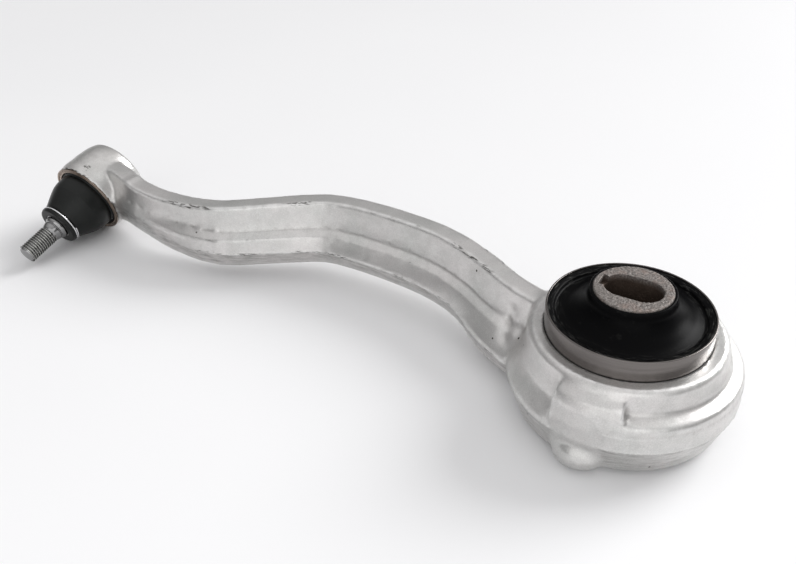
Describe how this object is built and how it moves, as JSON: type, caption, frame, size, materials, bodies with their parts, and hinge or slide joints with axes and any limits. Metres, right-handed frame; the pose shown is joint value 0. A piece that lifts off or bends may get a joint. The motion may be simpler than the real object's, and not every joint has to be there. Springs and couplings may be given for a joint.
{
  "type": "suspension control arm",
  "caption": "Forged, S-curved suspension arm with a fluid-filled rubber bush at one end and a booted ball joint with a threaded stud at the other.",
  "frame": {"origin": "middle of the bush, on the axis of its slotted inner sleeve", "axes": "+Z along the bush axis, out of the end face on the visible side; +X level, from the bush towards the ball joint; the stud points along +Y and 15 degrees down"},
  "size_m": [0.4193, 0.1115, 0.0642],
  "materials": {
    "forged_aluminium": "satin, blasted forging skin",
    "sleeve_steel": "turned",
    "cage_plastic": "matt",
    "channel_plastic": "matt",
    "bush_rubber": "smooth, slightly glossy",
    "stop_plastic": "matt",
    "inner_sleeve_metal": "coarse, cast-like end face",
    "cover_steel": "pressed",
    "shell_plastic": "smooth",
    "rim_steel": "rolled, bronze-brown",
    "boot_rubber": "matt, moulded",
    "clip_wire": "bright wire",
    "ball_steel": "polished",
    "stud_steel": "turned and rolled thread"
  },
  "bodies": {
    "arm": {"arm_forging": "forged_aluminium", "bush_outer_sleeve": "sleeve_steel", "bush_window_cage": "cage_plastic", "bush_channel_shell_left": "channel_plastic", "bush_channel_shell_right": "channel_plastic", "bush_rubber": "bush_rubber", "joint_end_cover": "cover_steel", "joint_bearing_shell": "shell_plastic", "joint_preload_ring": "cover_steel", "joint_rim_ring": "rim_steel", "boot": "boot_rubber", "boot_base_ring": "clip_wire"},
    "bush_core": {"bush_inner_sleeve": "inner_sleeve_metal", "bush_travel_stop": "stop_plastic"},
    "ball": {"joint_ball": "ball_steel"},
    "collar": {"boot_small_clip": "clip_wire", "boot_collar_ring": "cover_steel"},
    "stud": {"ball_stud": "stud_steel"}
  },
  "joints": [
    {"name": "bush_twist", "type": "hinge", "parent": "arm", "child": "bush_core", "pos_m": [0, 0, 0], "axis": [0, 0, 1], "range_deg": [-25, 25], "stiffness_Nm_per_rad": 80, "deforming": ["bush_rubber"]},
    {"name": "stud_swing_up", "type": "hinge", "parent": "arm", "child": "ball", "pos_m": [0.344, 0, -0.0075], "axis": [1, 0, 0], "range_deg": [-20, 20], "deforming": ["boot"]},
    {"name": "stud_swing_side", "type": "hinge", "parent": "ball", "child": "collar", "pos_m": [0.344, 0, -0.0075], "axis": [0, 0.2588, 0.9659], "range_deg": [-20, 20]},
    {"name": "stud_spin", "type": "hinge", "parent": "collar", "child": "stud", "pos_m": [0.344, 0, -0.0075], "axis": [0, 0.9659, -0.2588], "continuous": true}
  ]
}
